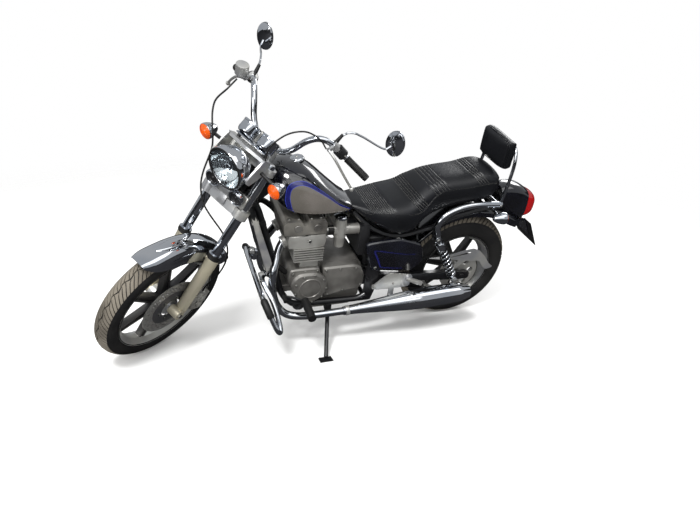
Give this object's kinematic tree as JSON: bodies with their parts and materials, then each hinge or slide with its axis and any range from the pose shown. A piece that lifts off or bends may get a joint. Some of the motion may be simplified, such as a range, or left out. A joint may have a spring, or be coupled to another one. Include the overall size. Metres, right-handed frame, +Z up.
{
  "type": "cruiser motorcycle",
  "caption": "Cruiser motorcycle with a finned twin engine, chrome exhausts, stepped seat, backrest and crash bar, leaning on its side stand.",
  "frame": {"origin": "on the floor under the middle of the machine's bounding box", "axes": "+X forward along the machine, +Y to the rider's left, +Z up; the machine leans to its left"},
  "size_m": [2.2874, 0.7018, 1.4475],
  "materials": {
    "chrome": "polished",
    "cast_alloy": "cast, satin",
    "fork_alloy": "raw machined",
    "steel": "machined",
    "frame_black": "semi-gloss paint",
    "gloss_black": "gloss paint",
    "dark_plastic": "matt",
    "tyre": "matt",
    "rubber": "matt",
    "seat_vinyl": "grained vinyl",
    "amber": "glossy",
    "red_lens": "glossy"
  },
  "bodies": {
    "chassis": {"air_box": "dark_plastic", "backrest_pad": "seat_vinyl", "belt_guard": "steel", "cam_cover": "dark_plastic", "carburettors": "cast_alloy", "cylinders": "cast_alloy", "damper_left": "chrome", "damper_right": "chrome", "drive_belt": "rubber", "engine_cases": "cast_alloy", "engine_guard": "chrome", "exhaust_left": "chrome", "exhaust_right": "chrome", "foot_peg_left": "rubber", "foot_peg_right": "rubber", "footrest_plate_left": "cast_alloy", "footrest_plate_right": "cast_alloy", "frame": "frame_black", "fuel_tank": "gloss_black", "grab_rail": "chrome", "licence_plate": "dark_plastic", "radiator": "dark_plastic", "rear_indicator_left": "chrome", "rear_indicator_right": "chrome", "rear_mudguard": "gloss_black", "seat": "seat_vinyl", "side_cover_left": "gloss_black", "side_cover_right": "gloss_black", "swingarm": "frame_black", "tail_lamp": "red_lens"},
    "steering": {"brake_caliper": "cast_alloy", "brake_hose": "rubber", "clutch_cable": "rubber", "control_left": "cast_alloy", "control_right": "cast_alloy", "fork_left": "fork_alloy", "fork_right": "fork_alloy", "front_indicator_left": "amber", "front_indicator_right": "amber", "front_mudguard": "chrome", "gauges": "chrome", "handlebar": "chrome", "headlight": "chrome", "horns": "dark_plastic", "lower_clamp": "cast_alloy", "upper_clamp": "cast_alloy", "mirror_left": "chrome", "mirror_right": "chrome"},
    "front_wheel": {"front_tyre": "tyre", "front_wheel_casting": "cast_alloy", "brake_disc": "steel"},
    "rear_wheel": {"rear_tyre": "tyre", "rear_wheel_casting": "cast_alloy", "belt_pulley": "steel"},
    "stand": {"side_stand": "frame_black"}
  },
  "joints": [
    {"name": "steering_turn", "type": "hinge", "parent": "chassis", "child": "steering", "pos_m": [0.80872, -0.01672, 0.27932], "axis": [-0.5084, 0.1639, 0.8454], "range_deg": [-79.2, 0]},
    {"name": "front_wheel_spin", "type": "hinge", "parent": "steering", "child": "front_wheel", "pos_m": [0.86043, 0.03796, 0.29982], "axis": [-0.5495, 0.6941, -0.4651], "continuous": true},
    {"name": "rear_wheel_spin", "type": "hinge", "parent": "chassis", "child": "rear_wheel", "pos_m": [-0.67916, -0.01196, 0.31019], "axis": [-0.0008, 0.9816, -0.1908], "continuous": true},
    {"name": "side_stand_fold", "type": "hinge", "parent": "chassis", "child": "stand", "pos_m": [0.08218, 0.11163, 0.15658], "axis": [-0.0336, 0.6447, 0.7637], "range_deg": [0, 98]}
  ]
}
